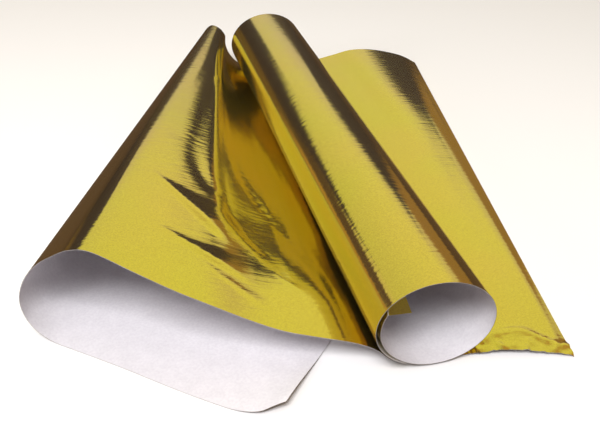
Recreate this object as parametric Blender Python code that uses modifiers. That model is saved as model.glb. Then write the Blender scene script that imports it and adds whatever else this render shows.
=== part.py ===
"""Sign vinyl: a loose sheet with one end curled under, and a rolled length that lies in its hollow.

Both are the same laminate: a metallised face film, a layer of adhesive and a release liner. Each layer starts
as a flat grid, is bent into place, and gets its thickness from Solidify. The face film's outer side is the
surface that is shaped, and the other layers follow it at their own depth. X is across the object, Y runs along
the roll and Z is up. Sizes are in metres.
"""

import math

import bmesh
import bpy
from mathutils import Matrix, Vector

# The vinyl
VINYL_WIDTH = 0.610
FILM_THICKNESS = 0.00010
ADHESIVE_THICKNESS = 0.00005
LINER_THICKNESS = 0.00020
LAYER_GAP = 0.00005
LAID_GAP = 0.0003  # between two laminates that lie on each other
LAMINATE = FILM_THICKNESS + ADHESIVE_THICKNESS + LINER_THICKNESS + 2 * LAYER_GAP

# The rolled length, an oval because it sags under its own weight
ROLL_HALF_WIDTH = 0.050
ROLL_HALF_HEIGHT = 0.0415
ROLL_TILT = math.radians(-14)  # of the oval at the front; angles are counter-clockwise from +X, from the front
ROLL_TILT_BACK = math.radians(2)
ROLL_INNER_END = math.radians(131)
ROLL_OUTER_END = math.radians(615)
WRAP_SPACE = 0.004  # between the inner wrap and the outer one, on the left
WRAP_CLOSES_FROM = math.radians(180)
WRAP_CLOSES_TO = math.radians(300)
ROLL_SIDE_CLEARANCE = 0.004  # between the roll and the sheet that rises beside it

# The dog-eared corner of the rolled length's inner end
CORNER_ALONG_RIM = 0.0245
CORNER_ALONG_END = 0.044
CORNER_FOLD = math.radians(70)
CREASE_GAP = 0.0006

# The loose sheet
TAIL_REACH = 0.165  # how far its tail comes back under it, along the front edge
TAIL_LIFT = 0.008  # how far the tail's front corner curls up
TAIL_LIFT_ALONG = 0.05  # the shares of the sheet that lift with it
TAIL_LIFT_ACROSS = 0.17
CURL_HEIGHT = 0.093  # at the front
CURL_HEIGHT_BACK = 0.060
ARCH_HEIGHT = 0.006  # right of the roll, at the front
ARCH_HEIGHT_BACK = 0.022

# How finely each is bent
SHEET_STEPS = 66
ROLL_STEPS = 54
CROSS_STEPS = 4

HALF_WIDTH = VINYL_WIDTH / 2
LOWEST_TOP = LAMINATE + LAID_GAP  # the gold side of the sheet where it comes lowest, right of the roll
VALLEY = 2 * LAMINATE + LAID_GAP  # the same under the roll, where it lies on its own tail


def roll_reach(tilt):
    """How far the oval reaches below its centre when it is tilted."""
    return math.hypot(ROLL_HALF_WIDTH * math.sin(tilt), ROLL_HALF_HEIGHT * math.cos(tilt))


ROLL_CENTRE_Z = VALLEY + LAID_GAP + max(roll_reach(ROLL_TILT), roll_reach(ROLL_TILT_BACK))


def beside_roll(angle, clearance, across):
    """X and Z of a point on the roll's oval, grown by a clearance, at a share from its front to its back."""
    tilt = ROLL_TILT + (ROLL_TILT_BACK - ROLL_TILT) * across
    wide = (ROLL_HALF_WIDTH + clearance) * math.cos(angle)
    high = (ROLL_HALF_HEIGHT + clearance) * math.sin(angle)
    x = wide * math.cos(tilt) - high * math.sin(tilt)
    z = wide * math.sin(tilt) + high * math.cos(tilt)
    return x, ROLL_CENTRE_Z + z


def under_left_back(angle_degrees, clearance):
    """A point of the sheet beside the roll's lower left at the back, never below the valley."""
    x, z = beside_roll(math.radians(angle_degrees), clearance, 1)
    return x, max(z, VALLEY)


def sheet_edges():
    """The front and the back edge of the loose sheet, from the tail's free end to the end right of the roll.

    The two lists have the same number of points, and a straight line joins each front point to its back point.
    """
    left = -ROLL_HALF_WIDTH
    right = ROLL_HALF_WIDTH
    near = -HALF_WIDTH
    far = HALF_WIDTH
    tail = left - 0.236 + TAIL_REACH
    front = [
        Vector((tail, near - 0.013, 0)),
        Vector((tail - 0.16 * TAIL_REACH, near - 0.011, 0)),
        Vector((tail - 0.42 * TAIL_REACH, near + 0.020, 0)),
        Vector((tail - 0.72 * TAIL_REACH, near + 0.062, 0)),
        Vector((left - 0.236, near + 0.099, 0)),
        Vector((left - 0.255, near + 0.114, 0.12 * CURL_HEIGHT)),
        Vector((left - 0.261, near + 0.122, 0.32 * CURL_HEIGHT)),
        Vector((left - 0.255, near + 0.124, 0.53 * CURL_HEIGHT)),
        Vector((left - 0.242, near + 0.121, 0.71 * CURL_HEIGHT)),
        Vector((left - 0.226, near + 0.110, 0.87 * CURL_HEIGHT)),
        Vector((left - 0.212, near + 0.100, 0.98 * CURL_HEIGHT)),
        Vector((left - 0.195, near + 0.091, CURL_HEIGHT)),
        Vector((left - 0.165, near + 0.070, 0.90 * CURL_HEIGHT)),
        Vector((left - 0.139, near + 0.057, 0.77 * CURL_HEIGHT)),
        Vector((left - 0.113, near + 0.047, 0.64 * CURL_HEIGHT)),
        Vector((left - 0.086, near + 0.039, 0.49 * CURL_HEIGHT)),
        Vector((left - 0.062, near + 0.031, 0.39 * CURL_HEIGHT)),
        Vector((left - 0.039, near + 0.024, 0.335 * CURL_HEIGHT)),
        Vector((left - 0.012, near + 0.017, 0.27 * CURL_HEIGHT)),
        Vector((left + 0.007, near + 0.013, 0.18 * CURL_HEIGHT)),
        Vector((left + 0.024, near + 0.009, VALLEY + 0.002)),
        Vector((0, near + 0.007, VALLEY)),
        Vector((right - 0.022, near + 0.004, VALLEY)),
        Vector((right - 0.006, near, 0.6 * ARCH_HEIGHT)),
        Vector((right + 0.012, near - 0.004, ARCH_HEIGHT)),
        Vector((right + 0.030, near - 0.009, 0.9 * ARCH_HEIGHT)),
        Vector((right + 0.048, near - 0.014, 0.5 * ARCH_HEIGHT)),
        Vector((right + 0.0645, near - 0.020, LOWEST_TOP)),
    ]
    hug = ROLL_SIDE_CLEARANCE
    sides = [under_left_back(degrees, hug) for degrees in (172, 180, 189, 200, 213, 228)]
    back = [
        Vector((right + 0.115, far - 0.295, 0)),
        Vector((right + 0.126, far - 0.215, 0)),
        Vector((right + 0.100, far - 0.145, 0)),
        Vector((right - 0.010, far - 0.050, 0)),
        Vector((left - 0.016, far + 0.040, 0)),
        Vector((left - 0.029, far + 0.047, 0.15 * CURL_HEIGHT_BACK)),
        Vector((left - 0.037, far + 0.050, 0.40 * CURL_HEIGHT_BACK)),
        Vector((left - 0.036, far + 0.050, 0.68 * CURL_HEIGHT_BACK)),
        Vector((left - 0.029, far + 0.048, 0.89 * CURL_HEIGHT_BACK)),
        Vector((left - 0.022, far + 0.045, 0.99 * CURL_HEIGHT_BACK)),
        Vector((left - 0.017, far + 0.041, CURL_HEIGHT_BACK)),
        Vector((left - 0.013, far + 0.037, 0.98 * CURL_HEIGHT_BACK)),
        Vector((left - 0.0095, far + 0.034, 0.94 * CURL_HEIGHT_BACK)),
        Vector((left - 0.0065, far + 0.031, 0.89 * CURL_HEIGHT_BACK)),
        *(Vector((x, far + 0.028 - 0.002 * i, z)) for i, (x, z) in enumerate(sides)),
        Vector((left + 0.030, far + 0.014, VALLEY + 0.002)),
        Vector((0, far + 0.010, VALLEY)),
        Vector((right - 0.020, far + 0.006, VALLEY + 0.001)),
        Vector((right + 0.018, far - 0.001, 0.40 * ARCH_HEIGHT_BACK)),
        Vector((right + 0.060, far - 0.007, 0.83 * ARCH_HEIGHT_BACK)),
        Vector((right + 0.100, far - 0.015, ARCH_HEIGHT_BACK)),
        Vector((right + 0.142, far - 0.022, 0.69 * ARCH_HEIGHT_BACK)),
        Vector((right + 0.174, far - 0.0285, LOWEST_TOP)),
    ]
    return front, back


def through(points, share):
    """A point on the smooth curve through the points, at a share from 0 to 1 of the way along the list."""
    place = min(max(share, 0.0), 1.0) * (len(points) - 1)
    i = min(int(place), len(points) - 2)
    t = place - i
    start, end = points[i], points[i + 1]
    before = points[i - 1] if i else 2 * start - end
    after = points[i + 2] if i + 2 < len(points) else 2 * end - start
    leave = (end - before) / 2
    arrive = (after - start) / 2
    return (
        (2 * t**3 - 3 * t**2 + 1) * start
        + (t**3 - 2 * t**2 + t) * leave
        + (3 * t**2 - 2 * t**3) * end
        + (t**3 - t**2) * arrive
    )


def sheet_surface(front, back):
    """The loose sheet's gold side: a function of the share along it and the share across it."""

    def at(along, across):
        point = through(front, along).lerp(through(back, along), across)
        point.z = max(point.z, LOWEST_TOP if along > 0.5 else 0.0)
        nearness = max(0.0, 1 - along / TAIL_LIFT_ALONG) * max(0.0, 1 - across / TAIL_LIFT_ACROSS)
        point.z += TAIL_LIFT * nearness
        return point

    return at


def wrap_inset(angle):
    """How far inside the oval the spiral runs at an angle: the inner wrap stands clear of the outer one."""
    share = (angle - WRAP_CLOSES_FROM) / (WRAP_CLOSES_TO - WRAP_CLOSES_FROM)
    share = min(max(share, 0.0), 1.0)
    return WRAP_SPACE * (1 - share * share * (3 - 2 * share))


def roll_surface(along, across):
    """The rolled length's gold side, from its outer end to its inner end and from front to back."""
    angle = ROLL_OUTER_END + (ROLL_INNER_END - ROLL_OUTER_END) * along
    x, z = beside_roll(angle, -wrap_inset(angle), across)
    return Vector((x, -HALF_WIDTH + VINYL_WIDTH * across, z))


def rim_length_from_inner_end(share):
    """The length of rim between a share along the roll and its inner end."""
    steps = 40
    points = [roll_surface(share + (1 - share) * i / steps, 0) for i in range(steps + 1)]
    return sum((b - a).length for a, b in zip(points, points[1:]))


def corner_share():
    """The share along the roll at which the crease meets the front rim."""
    low, high = 0.8, 1.0
    for _ in range(30):
        middle = (low + high) / 2
        if rim_length_from_inner_end(middle) > CORNER_ALONG_RIM:
            low = middle
        else:
            high = middle
    return low


def crease():
    """The crease's front end on the rim, its back end on the inner end, and the corner when it is unfolded."""
    return roll_surface(corner_share(), 0), roll_surface(1, CORNER_ALONG_END / VINYL_WIDTH), roll_surface(1, 0)


def material(name, colour, metallic, roughness):
    made = bpy.data.materials.new(name)
    made.use_nodes = True
    shader = made.node_tree.nodes["Principled BSDF"]
    shader.inputs["Base Color"].default_value = (*colour, 1)
    shader.inputs["Metallic"].default_value = metallic
    shader.inputs["Roughness"].default_value = roughness
    made.diffuse_color = (*colour, 1)
    return made


def flat_grid(along_steps, across_steps):
    """A flat unit square, X along the sheet and Y across it."""
    bm = bmesh.new()
    bmesh.ops.create_grid(bm, x_segments=along_steps, y_segments=across_steps, size=0.5)
    bmesh.ops.translate(bm, verts=bm.verts, vec=(0.5, 0.5, 0))
    return bm


def trim_corner(bm):
    """Cuts off the corner at the inner end's front, along the crease and a little to this side of it."""
    along = 1 - corner_share()
    across = CORNER_ALONG_END / VINYL_WIDTH
    outwards = Vector((1 / along, -1 / across, 0)).normalized()
    clearance = CREASE_GAP / 2 / CORNER_ALONG_RIM * along
    bmesh.ops.bisect_plane(
        bm,
        geom=bm.verts[:] + bm.edges[:] + bm.faces[:],
        dist=1e-7,
        plane_co=Vector((1 - along - clearance, 0, 0)),
        plane_no=outwards,
        clear_outer=True,
    )


def bend(bm, surface):
    """Bends the flat grid. Its triangles are settled first, so that all three layers share them."""
    bmesh.ops.triangulate(bm, faces=bm.faces[:])
    for vertex in bm.verts:
        vertex.co = surface(vertex.co.x, vertex.co.y)


def sink(bm, depth):
    """Moves a bent grid along its normals, from the gold side towards the liner."""
    bm.normal_update()
    moves = [(vertex, vertex.normal * depth) for vertex in bm.verts]
    for vertex, move in moves:
        vertex.co -= move


def finish_layer(bm, name, thickness, finish, collection, frame):
    """Makes the bent grid an object whose thickness goes from its gold side inwards."""
    centre = frame.location
    bmesh.ops.translate(bm, verts=bm.verts, vec=-centre)
    mesh = bpy.data.meshes.new(name)
    bm.to_mesh(mesh)
    bm.free()
    mesh.shade_smooth()
    mesh.materials.append(finish)
    layer = bpy.data.objects.new(name, mesh)
    collection.objects.link(layer)
    layer.parent = frame
    solid = layer.modifiers.new("Thickness", "SOLIDIFY")
    solid.thickness = thickness
    solid.offset = -1
    return layer


def laminate(prefix, make_surface_mesh, finishes, collection, frame):
    """The three layers of one piece of vinyl, each in its own object."""
    depth = 0.0
    for layer, thickness, finish in finishes:
        bm = make_surface_mesh()
        sink(bm, depth)
        finish_layer(bm, f"{prefix}_{layer}", thickness, finish, collection, frame)
        depth += thickness + LAYER_GAP


def sheet_mesh():
    bm = flat_grid(SHEET_STEPS, CROSS_STEPS)
    bend(bm, sheet_surface(*sheet_edges()))
    return bm


def roll_mesh():
    bm = flat_grid(ROLL_STEPS, CROSS_STEPS)
    trim_corner(bm)
    bend(bm, roll_surface)
    return bm


def fold_axis():
    """The crease as the corner turns about it: on the liner's inner face, so that the gold side opens as it folds.

    Gives the axis's front end, its direction, and the direction out of the flat, unfolded corner.
    """
    rim, end, corner = crease()
    outwards = (end - rim).cross(corner - rim).normalized()
    middle = (rim + corner) / 2
    if outwards.dot(Vector((middle.x, 0, middle.z - ROLL_CENTRE_Z))) < 0:
        outwards.negate()
    return rim - outwards * LAMINATE, (end - rim).normalized(), outwards


def corner_mesh():
    """The dog-eared corner: a flat triangle, folded inwards about the crease."""
    rim, end, corner = crease()
    pivot, axis, outwards = fold_axis()
    inwards = ((rim + end) / 2 - corner).normalized()
    bm = bmesh.new()
    points = [rim - inwards * CREASE_GAP, end - inwards * CREASE_GAP, corner]
    bm.faces.new([bm.verts.new(point) for point in points])
    bmesh.ops.subdivide_edges(bm, edges=bm.edges[:], cuts=2, use_grid_fill=True)
    bm.normal_update()
    if bm.faces[:][0].normal.dot(outwards) < 0:
        bmesh.ops.reverse_faces(bm, faces=bm.faces[:])
    turn = Matrix.Translation(pivot) @ Matrix.Rotation(CORNER_FOLD, 4, axis) @ Matrix.Translation(-pivot)
    bmesh.ops.transform(bm, matrix=turn, verts=bm.verts)
    return bm


def empty(name, location, parent, collection):
    made = bpy.data.objects.new(name, None)
    made.location = location
    made.parent = parent
    collection.objects.link(made)
    return made


def stand_on_its_middle(base, collection):
    """Moves the base so that the world's origin is under the middle of the whole object's box."""
    bpy.context.view_layer.update()
    graph = bpy.context.evaluated_depsgraph_get()
    corners = []
    for layer in (o for o in collection.objects if o.type == "MESH"):
        seen = layer.evaluated_get(graph)
        corners += [seen.matrix_world @ vertex.co for vertex in seen.data.vertices]
    low = Vector([min(corner[i] for corner in corners) for i in range(3)])
    high = Vector([max(corner[i] for corner in corners) for i in range(3)])
    base.location = (-(low.x + high.x) / 2, -(low.y + high.y) / 2, -low.z)


def main():
    for old in list(bpy.data.objects):
        bpy.data.objects.remove(old, do_unlink=True)
    collection = bpy.data.collections.new("sign_vinyl_roll")
    bpy.context.scene.collection.children.link(collection)

    film = material("metallised_gold_film", (0.62, 0.50, 0.04), 1.0, 0.22)
    glue = material("clear_adhesive", (0.75, 0.74, 0.68), 0.0, 0.35)
    paper = material("white_release_liner", (0.82, 0.80, 0.84), 0.0, 0.55)
    finishes = (
        ("face_film", FILM_THICKNESS, film),
        ("adhesive", ADHESIVE_THICKNESS, glue),
        ("release_liner", LINER_THICKNESS, paper),
    )

    base = empty("base", (0, 0, 0), None, collection)
    sheet_frame = empty("sheet_frame", (0, 0, 0), base, collection)
    roll_frame = empty("roll_frame", (0, 0, ROLL_CENTRE_Z), base, collection)
    laminate("sheet", sheet_mesh, finishes, collection, sheet_frame)
    laminate("roll", roll_mesh, finishes, collection, roll_frame)

    corner_frame = empty("corner_frame", fold_axis()[0], base, collection)
    laminate("corner", corner_mesh, finishes, collection, corner_frame)
    stand_on_its_middle(base, collection)


main()
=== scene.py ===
# %% [markdown]
# # A roll of sign vinyl and a loose sheet of it
#
# Sign vinyl is a laminate: a metallised face film, a layer of adhesive and a release liner of white
# paper. Here one sheet lies loose, with an end curled back under it, and a second length is rolled up and
# lies in its hollow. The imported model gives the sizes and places. This lesson makes the surfaces that a
# camera sees: how thin film bends, buckles and creases, and how a gold mirror shows the room around it.

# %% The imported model
import math
from bisect import bisect_right

import bmesh
import bpy
from mathutils import Euler, Matrix, Vector, noise


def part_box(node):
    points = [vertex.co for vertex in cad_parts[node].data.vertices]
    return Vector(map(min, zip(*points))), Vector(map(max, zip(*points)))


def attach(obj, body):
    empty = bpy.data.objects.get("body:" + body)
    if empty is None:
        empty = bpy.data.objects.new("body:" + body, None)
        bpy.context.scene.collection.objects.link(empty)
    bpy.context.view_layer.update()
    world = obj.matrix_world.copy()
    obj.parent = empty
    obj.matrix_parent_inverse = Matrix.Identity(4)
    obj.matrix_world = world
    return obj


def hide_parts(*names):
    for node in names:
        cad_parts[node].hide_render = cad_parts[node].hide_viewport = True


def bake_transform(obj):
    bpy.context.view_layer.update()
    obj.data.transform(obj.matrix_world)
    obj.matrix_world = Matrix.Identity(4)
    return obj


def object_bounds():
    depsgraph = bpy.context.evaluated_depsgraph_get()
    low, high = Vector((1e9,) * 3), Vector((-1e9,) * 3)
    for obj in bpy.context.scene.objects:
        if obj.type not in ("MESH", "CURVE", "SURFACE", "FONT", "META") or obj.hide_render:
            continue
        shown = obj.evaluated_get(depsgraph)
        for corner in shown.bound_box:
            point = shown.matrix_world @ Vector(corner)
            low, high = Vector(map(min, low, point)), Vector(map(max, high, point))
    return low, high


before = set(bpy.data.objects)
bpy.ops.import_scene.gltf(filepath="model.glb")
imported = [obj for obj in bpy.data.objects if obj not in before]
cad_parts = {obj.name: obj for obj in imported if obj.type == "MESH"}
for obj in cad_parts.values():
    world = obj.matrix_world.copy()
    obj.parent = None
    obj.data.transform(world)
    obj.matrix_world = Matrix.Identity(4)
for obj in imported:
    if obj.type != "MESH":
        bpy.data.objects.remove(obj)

CAD_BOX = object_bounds()
print("model box:", [round(side * 1000) for side in CAD_BOX[1] - CAD_BOX[0]], "mm")

# %% [markdown]
# ## The camera
#
# The camera comes first, because it decides what has to be fine and what can be plain. A person holding
# it above the near left corner would see the tube's open end, the curl's mouth and both gold sides at
# once.

# %% Camera
roll_low, roll_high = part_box("roll_face_film")
ROLL_MIDDLE = (roll_low + roll_high) / 2

CAMERA_FROM_ROLL = Vector((-0.198, -0.655, 0))
CAMERA_HEIGHT = 0.411
CAMERA_DOWN = math.radians(34.6)
CAMERA_RIGHT = math.radians(14.56)

camera = bpy.data.objects.new("camera", bpy.data.cameras.new("camera"))
camera.data.lens = 42
camera.data.sensor_width = 36
camera.location = (ROLL_MIDDLE.x + CAMERA_FROM_ROLL.x, ROLL_MIDDLE.y + CAMERA_FROM_ROLL.y, CAMERA_HEIGHT)
camera.rotation_euler = Euler((math.pi / 2 - CAMERA_DOWN, 0, -CAMERA_RIGHT))
bpy.context.scene.collection.objects.link(camera)
bpy.context.scene.camera = camera
bpy.context.scene.view_settings.view_transform = "Standard"
print("camera at", [round(value, 3) for value in camera.location])

# %% [markdown]
# ## Colours and nodes
#
# Colours are written as the sRGB hex values that a paint chart gives, and one function turns them into
# the linear values that light adds up in. One more helper adds a node, sets it and links it, so that a
# material reads as a list of what it does.


# %% Two helpers
def linear(code):
    """A hex colour as linear red, green, blue and alpha."""
    channels = [int(code[i:i + 2], 16) / 255 for i in (1, 3, 5)]
    return (*(c / 12.92 if c <= 0.04045 else ((c + 0.055) / 1.055) ** 2.4 for c in channels), 1.0)


def add_node(tree, kind, settings=None, **inputs):
    """Adds a node. Settings are its properties; inputs are values, or sockets to link from."""
    node = tree.nodes.new(kind)
    for name, value in (settings or {}).items():
        setattr(node, name, value)
    for name, value in inputs.items():
        socket = node.inputs[int(name[1:])] if name[1:].isdigit() else node.inputs[name.replace("_", " ")]
        if isinstance(value, bpy.types.NodeSocket):
            tree.links.new(value, socket)
        else:
            socket.default_value = value
    return node


print("gold in linear light:", [round(value, 3) for value in linear("#DCC845")])

# %% [markdown]
# ## The studio
#
# Metallised film has next to no colour of its own: nearly all that is seen in it is the room. So the room
# is the first material to get right. It is a light tent whose ceiling is bright at the back and dimmer in
# front, with a pale wall behind the object and a dark one before it. A few dark flags low down draw the
# brown bands that make gold look like metal. They are soft-edged rectangles on the sky, placed by bearing
# and height, so that they cost no geometry.
#
# The camera itself sees a plain pale backdrop, which no other ray meets.

# %% The tent's wall and ceiling
world = bpy.data.worlds.new("light_tent")
bpy.context.scene.world = world
world.use_nodes = True
sky = world.node_tree
sky.nodes.clear()

direction = add_node(sky, "ShaderNodeTexCoord").outputs["Generated"]
parts_of_direction = add_node(sky, "ShaderNodeSeparateXYZ", None, Vector=direction)

# A direction's parts run from -1 to 1, and its height is the sine of its angle above the horizon.
WALL_TOP = math.sin(math.radians(20))
CEILING_FROM = math.sin(math.radians(28))
FRONT_TO_BACK = (-0.3, 0.7)
LEFT_TO_RIGHT = (-0.7, 0.7)
backwards = add_node(
    sky, "ShaderNodeMapRange", {"interpolation_type": "SMOOTHSTEP"},
    Value=parts_of_direction.outputs["Y"], From_Min=FRONT_TO_BACK[0], From_Max=FRONT_TO_BACK[1],
).outputs["Result"]
rightwards = add_node(
    sky, "ShaderNodeMapRange", {"interpolation_type": "SMOOTHSTEP"},
    Value=parts_of_direction.outputs["X"], From_Min=LEFT_TO_RIGHT[0], From_Max=LEFT_TO_RIGHT[1],
).outputs["Result"]
upwards = add_node(
    sky, "ShaderNodeMapRange", {"interpolation_type": "SMOOTHSTEP"},
    Value=parts_of_direction.outputs["Z"], From_Min=WALL_TOP, From_Max=CEILING_FROM,
).outputs["Result"]


def blend_colours(factor, first, second):
    """A colour between two others. Each is a hex code, or a colour socket."""
    colours = [linear(c) if isinstance(c, str) else c for c in (first, second)]
    mixed = add_node(
        sky, "ShaderNodeMix", {"data_type": "RGBA"}, _0=factor, _6=colours[0], _7=colours[1]
    )
    return mixed.outputs[2]


front_ceiling = "#A19DA1"
back_ceiling = blend_colours(rightwards, "#D8D8BC", "#F0ECCC")
ceiling = blend_colours(backwards, front_ceiling, back_ceiling)
wall = blend_colours(backwards, "#4A403A", "#DCD2E0")
studio = blend_colours(upwards, wall, ceiling)
print("tent built")

# %% The flags
# Bearings are clockwise from straight behind the object, and heights are above the horizon, all in degrees.
FLAGS = (
    # bearing, height, half width, half height, softness, colour
    (-20, 8, 13, 16.5, 0.08, "#3A2A1E"),
    (-27, 3, 8, 7, 0.20, "#6B5326"),
    (-38, 12, 9, 8, 0.12, "#5A4322"),
    (-42, 4, 12, 4, 0.20, "#B89058"),
    (8, 2, 18, 14, 0.12, "#4A3A22"),
    (53, 3, 18, 14, 0.10, "#9A7844"),
    (30, 6, 7.5, 14.5, 0.12, "#3A2B1B"),
    (102, 45, 26, 26, 0.35, "#C09A68"),
    (85, 24, 9, 9, 0.25, "#5C4A26"),
    (100, 6, 14, 14, 0.20, "#54402A"),
    (150, 10, 16, 16, 0.20, "#3E3226"),
    (-100, 10, 16, 18, 0.20, "#4A3826"),
    (-150, 6, 12, 12, 0.20, "#5E4A30"),
)


def add_flag(behind, bearing, height, half_width, half_height, softness, colour):
    """A soft-edged rectangle on the sky."""
    turn = Euler((math.radians(height), 0, -math.radians(bearing))).to_matrix()
    middle, right, up = turn @ Vector((0, 1, 0)), turn @ Vector((1, 0, 0)), turn @ Vector((0, 0, 1))
    shares = []
    for side, half in ((right, half_width), (up, half_height)):
        scaled = side / math.sin(math.radians(half))
        dot = add_node(sky, "ShaderNodeVectorMath", {"operation": "DOT_PRODUCT"}, _0=direction, _1=scaled)
        shares.append(add_node(sky, "ShaderNodeMath", {"operation": "ABSOLUTE"}, _0=dot.outputs["Value"]))
    largest = add_node(
        sky, "ShaderNodeMath", {"operation": "MAXIMUM"}, _0=shares[0].outputs[0], _1=shares[1].outputs[0]
    )
    inside = add_node(
        sky, "ShaderNodeMapRange", {"interpolation_type": "SMOOTHSTEP"},
        Value=largest.outputs[0], From_Min=1 + softness, From_Max=1 - softness,
    )
    ahead = add_node(sky, "ShaderNodeVectorMath", {"operation": "DOT_PRODUCT"}, _0=direction, _1=middle)
    on_this_side = add_node(
        sky, "ShaderNodeMath", {"operation": "GREATER_THAN"}, _0=ahead.outputs["Value"], _1=0.0
    )
    mask = add_node(
        sky, "ShaderNodeMath", {"operation": "MULTIPLY"},
        _0=inside.outputs["Result"], _1=on_this_side.outputs[0],
    )
    return blend_colours(mask.outputs[0], behind, colour)


for flag in FLAGS:
    studio = add_flag(studio, *flag)

to_camera = add_node(sky, "ShaderNodeLightPath").outputs["Is Camera Ray"]
seen = blend_colours(to_camera, studio, "#F7F6F5")
background = add_node(sky, "ShaderNodeBackground", None, Color=seen, Strength=1.0)
add_node(sky, "ShaderNodeOutputWorld", None, Surface=background.outputs["Background"])
print(len(FLAGS), "flags")


# %% [markdown]
# ## The floor and the lamps
#
# The floor is a plain pale sweep to the camera. To a ray that has bounced it is a brown table, so that
# the film reflects brown and not white. No real paint does that: it is a stage trick, like the backdrop.
# One wide lamp stands high in front of the object, a little to the left. It reaches the bottom of the
# tube and of the curl, and leaves the paper at their tops in shade. A weak lamp at the left rounds the
# side of the curl.

# %% Floor
FLOOR_HALF_SIZE = 6
UNDER_THE_SHEET = 0.0002


def camera_paint(name, pale, indirect):
    """A matt paint that is pale to the camera, and another colour to every ray that has bounced."""
    made = bpy.data.materials.new(name)
    made.use_nodes = True
    tree = made.node_tree
    shader = tree.nodes["Principled BSDF"]
    shader.inputs["Roughness"].default_value = 0.9
    shader.inputs["Specular IOR Level"].default_value = 0.0
    to_camera = add_node(tree, "ShaderNodeLightPath").outputs["Is Camera Ray"]
    mixed = add_node(
        tree, "ShaderNodeMix", {"data_type": "RGBA"}, _0=to_camera, _6=linear(indirect), _7=linear(pale)
    )
    tree.links.new(mixed.outputs[2], shader.inputs["Base Color"])
    return made


bm = bmesh.new()
bmesh.ops.create_grid(bm, x_segments=1, y_segments=1, size=FLOOR_HALF_SIZE)
bmesh.ops.translate(bm, verts=bm.verts, vec=(0, 0, CAD_BOX[0].z - UNDER_THE_SHEET))
floor_mesh = bpy.data.meshes.new("floor")
bm.to_mesh(floor_mesh)
bm.free()
floor_mesh.materials.append(camera_paint("floor_paint", "#FFFFFF", "#57432F"))
floor = bpy.data.objects.new("floor", floor_mesh)
bpy.context.scene.collection.objects.link(floor)
print("floor", 2 * FLOOR_HALF_SIZE, "m across")


# %% Lamps
def softbox(name, place, aim, width, height, watts, colour):
    lamp = bpy.data.lights.new(name, "AREA")
    lamp.shape = "RECTANGLE"
    lamp.size = width
    lamp.size_y = height
    lamp.energy = watts
    lamp.color = linear(colour)[:3]
    holder = bpy.data.objects.new(name, lamp)
    holder.location = place
    holder.rotation_euler = (Vector(aim) - Vector(place)).to_track_quat("-Z", "Y").to_euler()
    bpy.context.scene.collection.objects.link(holder)


softbox("front_lamp", (-0.6, -1.25, 1.9), (0, -0.2, 0.05), 1.1, 0.8, 44, "#FEFDFF")
softbox("side_lamp", (-2.2, -0.5, 0.8), (-0.2, -0.2, 0.05), 0.8, 0.6, 11, "#FFFAFC")
print("lamps lit")

# %% [markdown]
# ## Metallised gold film
#
# The face is polyester film with a mirror of vacuum-deposited aluminium behind it, under a yellow
# lacquer. To the eye it is a lemon-gold mirror, not quite sharp: the lacquer has a fine grain, and the
# film a faint ripple and fine cross streaks from its rollers, which fray the edges of what it reflects. A
# hazy clear coat lies over them and lifts the darkest browns. A metal keeps the default IOR, and its
# colour is the colour of its reflections.

# %% Film
MILLIMETRE = 0.001
GRAIN = 1.3 * MILLIMETRE  # finer on the real film; this coarse it still shows
RIPPLE = 9 * MILLIMETRE
CHATTER = 4 * MILLIMETRE  # the cross streaks
ACROSS_ONLY = (0.12, 1.0, 0.12)  # they run round the roll and along the sheet
DRIFT = 90 * MILLIMETRE


def new_material(name):
    made = bpy.data.materials.new(name)
    made.use_nodes = True
    tree = made.node_tree
    return made, tree, tree.nodes["Principled BSDF"]


def pattern(tree, size, detail=2.0, stretch=(1.0, 1.0, 1.0)):
    """Noise whose blotches are about this many metres across.

    A stretch below 1 draws them out along an axis.
    """
    place = add_node(tree, "ShaderNodeTexCoord").outputs["Object"]
    scaled = add_node(tree, "ShaderNodeVectorMath", {"operation": "MULTIPLY"}, _0=place, _1=stretch)
    return add_node(
        tree, "ShaderNodeTexNoise", None, Vector=scaled.outputs[0], Scale=1 / size, Detail=detail
    ).outputs["Fac"]


def bump(tree, height, strength, distance, after=None):
    inputs = {"Height": height, "Strength": strength, "Distance": distance}
    if after is not None:
        inputs["Normal"] = after
    return add_node(tree, "ShaderNodeBump", None, **inputs).outputs["Normal"]


def spread(tree, value, low, high):
    """Noise is bunched about a half, so this stretches its middle over the whole range."""
    return add_node(
        tree, "ShaderNodeMapRange", None, Value=value, From_Min=0.3, From_Max=0.7, To_Min=low, To_Max=high
    ).outputs["Result"]


def metallised_film():
    made, tree, shader = new_material("metallised_polyester_film")
    grain = pattern(tree, GRAIN)
    ripple = pattern(tree, RIPPLE, 1.0)
    chatter = pattern(tree, CHATTER, 3.0, stretch=ACROSS_ONLY)
    drift = pattern(tree, DRIFT, 1.0)
    tone = add_node(
        tree, "ShaderNodeMix", {"data_type": "RGBA"},
        _0=spread(tree, drift, 0.0, 1.0), _6=linear("#E6D846"), _7=linear("#EAD450"),
    ).outputs[2]
    grained = add_node(
        tree, "ShaderNodeMix", {"data_type": "RGBA", "blend_type": "MULTIPLY"},
        _0=spread(tree, grain, 0.0, 0.30), _6=tone, _7=linear("#C9B45A"),
    ).outputs[2]
    tree.links.new(grained, shader.inputs["Base Color"])
    tree.links.new(spread(tree, grain, 0.06, 0.11), shader.inputs["Roughness"])
    shader.inputs["Metallic"].default_value = 1.0
    shader.inputs["Coat Weight"].default_value = 0.8
    shader.inputs["Coat Roughness"].default_value = 0.5
    relief = bump(tree, ripple, 0.12, 0.0006)
    relief = bump(tree, chatter, 0.26, 0.0006, relief)
    tree.links.new(bump(tree, grain, 0.10, 0.00008, relief), shader.inputs["Normal"])
    return made


FILM_FINISH = metallised_film()
print("film grain", round(GRAIN / MILLIMETRE, 1), "mm")

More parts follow.
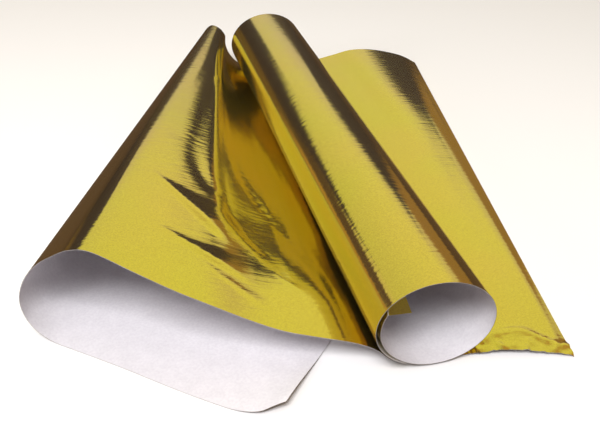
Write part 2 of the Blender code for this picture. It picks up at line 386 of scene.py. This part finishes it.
# %% [markdown]
# ## Release liner and adhesive
#
# The liner is glassine paper with a silicone coat. It is a cool white with a low sheen, and its fibres
# leave a cloudy mottle that shows only close by. The adhesive is clear acrylic. It shows as a fine pale
# line at a cut edge.

# %% Paper and adhesive
FIBRE = 2.2 * MILLIMETRE
CLOUD = 14 * MILLIMETRE


def siliconised_paper():
    made, tree, shader = new_material("siliconised_glassine_paper")
    fibre = pattern(tree, FIBRE, 4.0)
    cloud = pattern(tree, CLOUD, 2.0)
    mottle = add_node(
        tree, "ShaderNodeMix", {"data_type": "RGBA"},
        _0=spread(tree, cloud, 0.0, 1.0), _6=linear("#F0EEF1"), _7=linear("#EAE8EB"),
    ).outputs[2]
    fibred = add_node(
        tree, "ShaderNodeMix", {"data_type": "RGBA", "blend_type": "MULTIPLY"},
        _0=spread(tree, fibre, 0.0, 0.35), _6=mottle, _7=linear("#DEDBE0"),
    ).outputs[2]
    tree.links.new(fibred, shader.inputs["Base Color"])
    tree.links.new(spread(tree, fibre, 0.42, 0.52), shader.inputs["Roughness"])
    shader.inputs["Specular IOR Level"].default_value = 0.35
    tree.links.new(bump(tree, fibre, 0.15, 0.00005), shader.inputs["Normal"])
    return made


def clear_acrylic_adhesive():
    made, tree, shader = new_material("clear_acrylic_adhesive")
    cloud = pattern(tree, CLOUD, 2.0)
    tint = add_node(
        tree, "ShaderNodeMix", {"data_type": "RGBA"},
        _0=spread(tree, cloud, 0.0, 1.0), _6=linear("#DAD4BE"), _7=linear("#CFC9B2"),
    ).outputs[2]
    tree.links.new(tint, shader.inputs["Base Color"])
    tree.links.new(spread(tree, cloud, 0.25, 0.35), shader.inputs["Roughness"])
    return made


PAPER_FINISH = siliconised_paper()
ADHESIVE_FINISH = clear_acrylic_adhesive()
LAYERS = (
    # name, thickness, depth of its upper side below the gold, finish, slot
    ("face_film", 0.00010, 0.0, FILM_FINISH, "gold_film"),
    ("adhesive", 0.00005, 0.00015, ADHESIVE_FINISH, "adhesive"),
    ("release_liner", 0.00020, 0.00025, PAPER_FINISH, "release_liner"),
)
print(len(LAYERS), "layers")

# %% [markdown]
# ## From a flat grid to a laminate
#
# Every piece of vinyl starts flat, as it does in life: a grid whose X runs along the vinyl and whose Y
# runs across it. A function says where each point goes. The grid is shaped once, and each layer is a copy
# of it, sunk along its normals and given its thickness, so that the layers stay parallel however hard the
# vinyl is creased.


# %% Grid and layers
def shaped_grid(along_steps, across_steps, surface, trim=None, relief=None):
    """A unit grid, cut by trim where that is given, with every point moved to where the surface puts it.

    Relief then gives each point its height above that surface.
    """
    shape = bmesh.new()
    bmesh.ops.create_grid(shape, x_segments=along_steps, y_segments=across_steps, size=0.5)
    bmesh.ops.translate(shape, verts=shape.verts, vec=(0.5, 0.5, 0))
    if trim:
        trim(shape)
    places = [(vertex.co.x, vertex.co.y) for vertex in shape.verts]
    for vertex, place in zip(shape.verts, places):
        vertex.co = surface(*place)
    shape.normal_update()
    if relief:
        moves = [vertex.normal * relief(*place) for vertex, place in zip(shape.verts, places)]
        for vertex, move in zip(shape.verts, moves):
            vertex.co += move
        shape.normal_update()
    return shape


def lay_layers(prefix, shape):
    """The three layers of one piece of vinyl. Returns their objects, the film first."""
    made = []
    for layer, thickness, depth, finish, slot in LAYERS:
        bm = shape.copy()
        bm.normal_update()
        moves = [vertex.normal * depth for vertex in bm.verts]
        for vertex, move in zip(bm.verts, moves):
            vertex.co -= move
        bm.normal_update()
        bmesh.ops.solidify(bm, geom=bm.faces[:], thickness=thickness)
        bmesh.ops.recalc_face_normals(bm, faces=bm.faces[:])
        mesh = bpy.data.meshes.new(f"{prefix}_{layer}_fine")
        bm.to_mesh(mesh)
        bm.free()
        mesh.shade_smooth()
        mesh.set_sharp_from_angle(angle=math.radians(50))
        mesh.materials.append(finish)
        piece = bpy.data.objects.new(mesh.name, mesh)
        bpy.context.scene.collection.objects.link(piece)
        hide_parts(f"{prefix}_{layer}")
        made.append(piece)
        print(piece.name, len(mesh.polygons), "faces")
    return made


print("grid and layers ready")

# %% [markdown]
# ## The rolled length
#
# Loose film springs open, so a roll of it without a core is not a round tube. It sags into an oval that
# leans, and its inner wrap stands clear of the outer one on the left. The oval's half sizes come from the
# packed box. A point is found by its angle round the oval and its share of the way from the near rim to
# the far one.

# %% The roll's shape
TILT_FRONT = math.radians(-14)
TILT_BACK = math.radians(2)
OUTER_END = math.radians(615)
INNER_END = math.radians(131)
WRAP_SPACE = 0.004
WRAP_CLOSES = (math.radians(180), math.radians(300))
ROLL_LENGTH = roll_high.y - roll_low.y
HALF_WIDE = (roll_high.x - roll_low.x) / 2
half_box = (roll_high.z - roll_low.z) / 2
HALF_TALL = math.sqrt(half_box**2 - (HALF_WIDE * math.sin(TILT_FRONT))**2) / math.cos(TILT_FRONT)


def smooth(value, low, high):
    """0 below low, 1 above high, and a smooth step between them."""
    share = min(max((value - low) / (high - low), 0.0), 1.0)
    return share * share * (3 - 2 * share)


def on_roll(along, across):
    """The rolled length's gold side, from its outer end to its inner one and from the near rim back."""
    angle = OUTER_END + (INNER_END - OUTER_END) * along
    inset = WRAP_SPACE * (1 - smooth(angle, *WRAP_CLOSES))
    tilt = TILT_FRONT + (TILT_BACK - TILT_FRONT) * across
    wide = (HALF_WIDE - inset) * math.cos(angle)
    high = (HALF_TALL - inset) * math.sin(angle)
    return Vector((
        ROLL_MIDDLE.x + wide * math.cos(tilt) - high * math.sin(tilt),
        roll_low.y + ROLL_LENGTH * across,
        ROLL_MIDDLE.z + wide * math.sin(tilt) + high * math.cos(tilt),
    ))


print("oval", round(HALF_WIDE * 2000, 1), "x", round(HALF_TALL * 2000, 1), "mm")

# %% [markdown]
# The inner end's near corner is folded in. Its crease runs from the near rim to the inner end, and the
# corner past it is a piece of its own, so the rolled length is cut along the crease while it is still a
# flat grid.

# %% The cut for the corner
CORNER_ALONG_RIM = 0.0245
CORNER_ALONG_END = 0.044


def rim_share(distance):
    """The share along the roll of a point on its near rim, at a distance from the inner end."""
    low, high = 0.8, 1.0
    for _ in range(30):
        middle = (low + high) / 2
        points = [on_roll(middle + (1 - middle) * i / 40, 0) for i in range(41)]
        if sum((b - a).length for a, b in zip(points, points[1:])) > distance:
            low = middle
        else:
            high = middle
    return low


CREASE_SHARE = rim_share(CORNER_ALONG_RIM)
CREASE_ACROSS = CORNER_ALONG_END / ROLL_LENGTH


def trim_corner(shape):
    bmesh.ops.bisect_plane(
        shape,
        geom=shape.verts[:] + shape.edges[:] + shape.faces[:],
        dist=1e-7,
        plane_co=(CREASE_SHARE, 0, 0),
        plane_no=Vector((1 / (1 - CREASE_SHARE), -1 / CREASE_ACROSS, 0)).normalized(),
        clear_outer=True,
    )


roll_shape = shaped_grid(190, 130, on_roll, trim_corner)
roll_pieces = lay_layers("roll", roll_shape)
for piece in roll_pieces:
    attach(piece, "roll")
roll_shape.free()

# %% [markdown]
# ## The folded corner
#
# The corner is flat, and it is bent inwards along the crease. The wall that it leaves is curved, so close
# to the crease the corner follows the wall's curve, and the flat triangle takes over within a few
# millimetres.

# %% Corner
CORNER_FOLD = math.radians(70)
LAMINATE = 0.00045
FOLLOWS_WALL = 0.25  # the share of the corner that takes up the wall's curve
crease_near = on_roll(CREASE_SHARE, 0)
crease_far = on_roll(1, CREASE_ACROSS)
flat_corner = on_roll(1, 0)
crease_axis = (crease_far - crease_near).normalized()
outwards = (crease_far - crease_near).cross(flat_corner - crease_near).normalized()
if outwards.dot(crease_near - ROLL_MIDDLE) < 0:
    outwards.negate()
pivot = crease_near - outwards * LAMINATE
fold = Matrix.Translation(pivot) @ Matrix.Rotation(CORNER_FOLD, 4, crease_axis) @ Matrix.Translation(-pivot)
corner_tip = fold @ flat_corner


def on_corner(along, across):
    """From the crease to the tip, and from the near rim to the inner end."""
    crease_point = crease_near.lerp(crease_far, across)
    wall = on_roll(CREASE_SHARE + (1 - CREASE_SHARE) * across, CREASE_ACROSS * across)
    flat = (fold @ crease_point).lerp(corner_tip, along)
    return flat + (wall - crease_point) * (1 - smooth(along, 0.0, FOLLOWS_WALL))


corner_shape = shaped_grid(14, 22, on_corner)
bmesh.ops.remove_doubles(corner_shape, verts=corner_shape.verts, dist=1e-6)
corner_shape.normal_update()
inner_side = sum((face.normal for face in corner_shape.faces), Vector())
if inner_side.dot(fold.to_3x3() @ outwards) < 0:
    bmesh.ops.reverse_faces(corner_shape, faces=corner_shape.faces[:])
corner_pieces = lay_layers("corner", corner_shape)
crease_middle = fold @ crease_near.lerp(crease_far, 0.5)
across_corner = corner_tip - crease_middle
across_corner -= crease_axis * across_corner.dot(crease_axis)
for piece in corner_pieces:
    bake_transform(piece)
corner_shape.free()

# %% [markdown]
# ## The loose sheet
#
# The sheet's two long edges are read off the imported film, because they say where the sheet lies. The
# packed film is a closed skin, so its narrow rim faces are taken away first, which leaves its gold side
# and its inner side, and the gold side is the one that looks up to the right of the roll. Its outline has
# a point every few millimetres along the long edges and only a few points across the two ends, which
# tells them apart.

# %% Reading the long edges
END_STEP = ROLL_LENGTH / 6


def gold_side(node):
    """The gold side of a packed film as a bmesh."""
    bm = bmesh.new()
    bm.from_mesh(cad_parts[node].data)
    bmesh.ops.remove_doubles(bm, verts=bm.verts, dist=2e-6)
    rim = [face for face in bm.faces if min(edge.calc_length() for edge in face.edges) < 2 * LAYERS[0][1]]
    bmesh.ops.delete(bm, geom=rim, context="FACES")
    facing_up = [face for face in bm.faces if face.normal.z > 0.7]
    rightmost = max(facing_up, key=lambda face: face.calc_center_median().x)
    kept, found = {rightmost}, [rightmost]
    while found:
        face = found.pop()
        for edge in face.edges:
            for other in edge.link_faces:
                if other not in kept:
                    kept.add(other)
                    found.append(other)
    bmesh.ops.delete(bm, geom=[face for face in bm.faces if face not in kept], context="FACES")
    return bm


def long_edges(bm):
    """The outline's two long runs, the near one first, each from the tail to the end right of the roll."""
    vertex = next(v for v in bm.verts if any(e.is_boundary for e in v.link_edges))
    outline, edge = [vertex], next(e for e in vertex.link_edges if e.is_boundary)
    while True:
        vertex = edge.other_vert(vertex)
        if vertex is outline[0]:
            break
        outline.append(vertex)
        edge = next(e for e in vertex.link_edges if e.is_boundary and e is not edge)
    runs = [[]]
    for last, vertex in zip(outline[-1:] + outline, outline):
        if (vertex.co - last.co).length > END_STEP:
            runs.append([])
        runs[-1].append(vertex.co.copy())
    runs[0] = runs.pop() + runs[0]
    longest = sorted(runs, key=len)[-2:]
    ordered = [run if run[0].x < run[-1].x else run[::-1] for run in longest]
    return sorted(ordered, key=lambda run: sum(point.y for point in run))


skin = gold_side("sheet_face_film")
NEAR_EDGE, FAR_EDGE = long_edges(skin)
skin.free()
print("stations along the sheet:", len(NEAR_EDGE), len(FAR_EDGE))

# %% [markdown]
# A point on the sheet is then found by its distance along it and its share of the way across. Straight
# lines join the two long edges, because a sheet bends in one direction at a time.

# %% The sheet's shape
steps = [
    ((near - last_near).length + (far - last_far).length) / 2
    for last_near, near, last_far, far in zip(NEAR_EDGE, NEAR_EDGE[1:], FAR_EDGE, FAR_EDGE[1:])
]
DISTANCES = [sum(steps[:i]) for i in range(len(steps) + 1)]
SHEET_LENGTH = DISTANCES[-1]
VINYL_WIDTH = ROLL_LENGTH
LOWEST_TOP = NEAR_EDGE[-1].z
TAIL_LIFT = NEAR_EDGE[0].z
TAIL_LIFT_ALONG = 0.10
TAIL_LIFT_ACROSS = 0.17
TAIL_FLAT = 0.35  # the shares along the sheet up to which the tail lies flat
RIGHT_OF_CREST = 0.6  # and past which the sheet comes down to its lowest
print("sheet", round(SHEET_LENGTH * 1000), "x", round(VINYL_WIDTH * 1000), "mm")


def through(points, i, t):
    """A point on the smooth curve through the points, a share t past point i."""
    start, end = points[i], points[i + 1]
    before = points[i - 1] if i else 2 * start - end
    after = points[i + 2] if i + 2 < len(points) else 2 * end - start
    leave, arrive = (end - before) / 2, (after - start) / 2
    return (
        (2 * t**3 - 3 * t**2 + 1) * start
        + (t**3 - 2 * t**2 + t) * leave
        + (3 * t**2 - 2 * t**3) * end
        + (t**3 - t**2) * arrive
    )


# start, end, and the part of the grid that goes between them
CROWDED_ALONG = (0.53, 0.74, 0.42)
CROWDED_ACROSS = (0.0, 0.42, 0.60)
edge_points = {}


def crowd(share, start, end, part):
    """Moves evenly spaced shares, so that this part of them falls between start and end."""
    before = (1 - part) * start / (start + 1 - end)
    if share < before:
        return start * share / before
    if share < before + part:
        return start + (end - start) * (share - before) / part
    return end + (1 - end) * (share - before - part) / (1 - before - part)


def on_sheet(along, across):
    """The gold side of the loose sheet, before it is creased."""
    along, across = crowd(along, *CROWDED_ALONG), crowd(across, *CROWDED_ACROSS)
    if along not in edge_points:
        distance = along * SHEET_LENGTH
        i = min(bisect_right(DISTANCES, distance) - 1, len(steps) - 1)
        t = (distance - DISTANCES[i]) / steps[i]
        edge_points[along] = (through(NEAR_EDGE, i, t), through(FAR_EDGE, i, t))
    near, far = edge_points[along]
    point = near.lerp(far, across)
    if along < TAIL_FLAT:
        # Only the tail's near corner curls up. The rest of it lies flat, under the hollow as well.
        lift = TAIL_LIFT * (1 - smooth(along, 0, TAIL_LIFT_ALONG))
        point.z = lift * (1 - smooth(across, 0, TAIL_LIFT_ACROSS))
    point.z = max(point.z, LOWEST_TOP if along > RIGHT_OF_CREST else 0.0)
    return point


# %% [markdown]
# The sheet has been handled. A broad fold runs beside the roll, where the sheet drops into the hollow,
# and a soft buckle curls round its narrow back end. Beside them are a few arrow-shaped pleats whose tips
# point away from the roll. The end right of the roll has one low pleat and a curled edge along it, and
# its near margin is crumpled. Each is a small height above or below the smooth sheet, and a mirror shows
# a slope of two degrees as a stripe. All places are in millimetres: along is from the tail's edge, and
# across is from the near edge.

# %% Folds and pleats
MILLIMETRES_PER_METRE = 1000
FOLD_LINE = (
    # across, along
    (0, 545), (60, 540), (95, 530), (125, 512), (150, 503),
    (200, 497), (310, 494), (400, 489), (500, 480), (610, 472),
)
FOLD_STEP = 2.0
FOLD_STEP_RUN = 17
FOLD_STEP_ENDS = (560, 610)
FOLD_DROP = (
    # along, drop
    (485, 0), (500, 0.4), (515, 2.3), (535, 5.4), (555, 7.5),
    (572, 8.0), (585, 7.4), (597, 4.8), (610, 1.2), (620, 0),
)
FOLD_FADES_IN = (45, 165)  # across, from the near edge
FOLD_FADES_OUT = (500, 600)
FOLD_LEFT_AT_BACK = 0.2
BETWEEN_CREST_AND_ROLL = (400, 625)
BUCKLES = (
    # depth, half width, then points along and across
    (0.80, 8.5, ((490, 430), (485, 346), (482, 290), (482, 230), (488, 195), (499, 170))),
    (0.22, 9.0, ((474, 460), (463, 400), (457, 335), (456, 290), (460, 240))),
    (0.30, 5.0, ((508, 470), (512, 380), (520, 300), (534, 230), (556, 165), (574, 110))),
)
PLEATS = (
    # tip, end, half width at the end, height at its steep side
    ((455, 150), (503, 126), 22, 2.5),
    ((465, 73), (508, 66), 13, 1.5),
    ((495, 52), (522, 35), 5, 0.6),
    ((541, 77), (554, 63), 4, 0.6),
)
END_PLEAT = (
    # across, along
    (0, 800), (330, 762), (420, 755), (500, 748), (560, 742), (610, 738),
)
END_PLEAT_HEIGHT = 2.8
END_PLEAT_FADES_IN = (300, 470)
END_PLEAT_RISE = (-22, 2)
END_PLEAT_FALL = (-4, 62)
END_CURL = 1.0
END_CURL_RISE = (778, 802)
END_CURL_FALL = (801, 814)
CRUMPLE_HEIGHT = 3.2
CRUMPLE_SIZE = (11, 8)
CRUMPLE_DEPTH = (6, 26)
RIDGE_HEIGHT = 1.0
RIDGE_ACROSS = 15
RIDGE_HALF_WIDTH = 4
RIDGE_BOW_OUT = 8
RIDGE_BOW_BACK = 12
RIDGE_BOWS_OUT = (700, 760)
RIDGE_BOWS_BACK = (760, 800)
MARGIN_FADES_IN = (650, 690)
RIGHT_OF_ROLL = 640


def along_line(line, value):
    """A smooth curve through pairs of numbers, read off at a value of the first."""
    value = min(max(value, line[0][0]), line[-1][0])
    i = next(k for k in range(len(line) - 1) if value <= line[k + 1][0])
    share = (value - line[i][0]) / (line[i + 1][0] - line[i][0])
    return through([second for first, second in line], i, share)


def curve(points, steps=6):
    """The smooth curve through some places, as close points."""
    places = [Vector(point) for point in points]
    between = [through(places, i, k / steps) for i in range(len(places) - 1) for k in range(steps)]
    return between + places[-1:]


BUCKLE_CURVES = [(depth, half_width, curve(points)) for depth, half_width, points in BUCKLES]


def distance_to(points, place):
    """How far a place is from the nearest of some close points."""
    return min((place - point).length for point in points)


PLEAT_FADE = (0.9, 1.6)  # in lengths of the pleat from its tip
STEEP_SIDE = (-1.0, -0.65)  # in half widths from its middle
GENTLE_SIDE = (-0.75, 1.0)


def pleat(place, tip, end, half_width, height):
    """A sawtooth that widens from its tip: steep on its near side and gentle on its far one."""
    run = Vector(end) - Vector(tip)
    reach = place - Vector(tip)
    t = reach.dot(run) / run.length_squared
    if not 0 < t < PLEAT_FADE[1]:
        return 0.0
    sideways = run.cross(reach) / run.length / (half_width * t)
    tooth = smooth(sideways, *STEEP_SIDE) * (1 - smooth(sideways, *GENTLE_SIDE))
    return height * t * tooth * (1 - smooth(t, *PLEAT_FADE))


def beside_roll(place):
    """The fold, the buckles and the pleats."""
    step = FOLD_STEP * smooth(place.x - along_line(FOLD_LINE, place.y), 0, FOLD_STEP_RUN)
    drop = step * (1 - smooth(place.x, *FOLD_STEP_ENDS)) + along_line(FOLD_DROP, place.x)
    back = 1 - (1 - FOLD_LEFT_AT_BACK) * smooth(place.y, *FOLD_FADES_OUT)
    height = -drop * smooth(place.y, *FOLD_FADES_IN) * back
    for depth, half_width, points in BUCKLE_CURVES:
        height -= depth * math.exp(-(distance_to(points, place) / half_width)**2)
    return height + sum(pleat(place, *sizes) for sizes in PLEATS)


def right_of_roll(place):
    """The low pleat, the curled end edge and the crumpled near margin."""
    past = place.x - along_line(END_PLEAT, place.y)
    end_pleat = END_PLEAT_HEIGHT * smooth(place.y, *END_PLEAT_FADES_IN) * smooth(past, *END_PLEAT_RISE)
    end_pleat *= 1 - smooth(past, *END_PLEAT_FALL)
    end_curl = END_CURL * smooth(place.x, *END_CURL_RISE) * (1 - smooth(place.x, *END_CURL_FALL))
    grain = noise.noise(Vector((place.x / CRUMPLE_SIZE[0], place.y / CRUMPLE_SIZE[1], 0)))
    crumple = abs(grain) * (1 - smooth(place.y, *CRUMPLE_DEPTH))
    bow_out = RIDGE_BOW_OUT * smooth(place.x, *RIDGE_BOWS_OUT)
    bow_back = RIDGE_BOW_BACK * smooth(place.x, *RIDGE_BOWS_BACK)
    from_ridge = place.y - RIDGE_ACROSS - bow_out + bow_back
    ridge = math.exp(-(from_ridge / RIDGE_HALF_WIDTH)**2)
    margin = CRUMPLE_HEIGHT * crumple + RIDGE_HEIGHT * ridge
    return end_pleat + end_curl + margin * smooth(place.x, *MARGIN_FADES_IN)


def sheet_relief(along, across):
    """The height in metres above or below the smooth sheet."""
    along, across = crowd(along, *CROWDED_ALONG), crowd(across, *CROWDED_ACROSS)
    place = Vector((along * SHEET_LENGTH, across * VINYL_WIDTH)) * MILLIMETRES_PER_METRE
    if BETWEEN_CREST_AND_ROLL[0] < place.x < BETWEEN_CREST_AND_ROLL[1]:
        return beside_roll(place) / MILLIMETRES_PER_METRE
    if place.x > RIGHT_OF_ROLL:
        return right_of_roll(place) / MILLIMETRES_PER_METRE
    return 0.0


sheet_shape = shaped_grid(300, 148, on_sheet, relief=sheet_relief)
sheet_pieces = lay_layers("sheet", sheet_shape)
for piece in sheet_pieces:
    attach(piece, "sheet")
sheet_shape.free()

# %% [markdown]
# ## Sizes

# %% Sizes
# The loose sheet's area is less than its rectangle's, because a corner of its tail is cut off.
print("scene built")
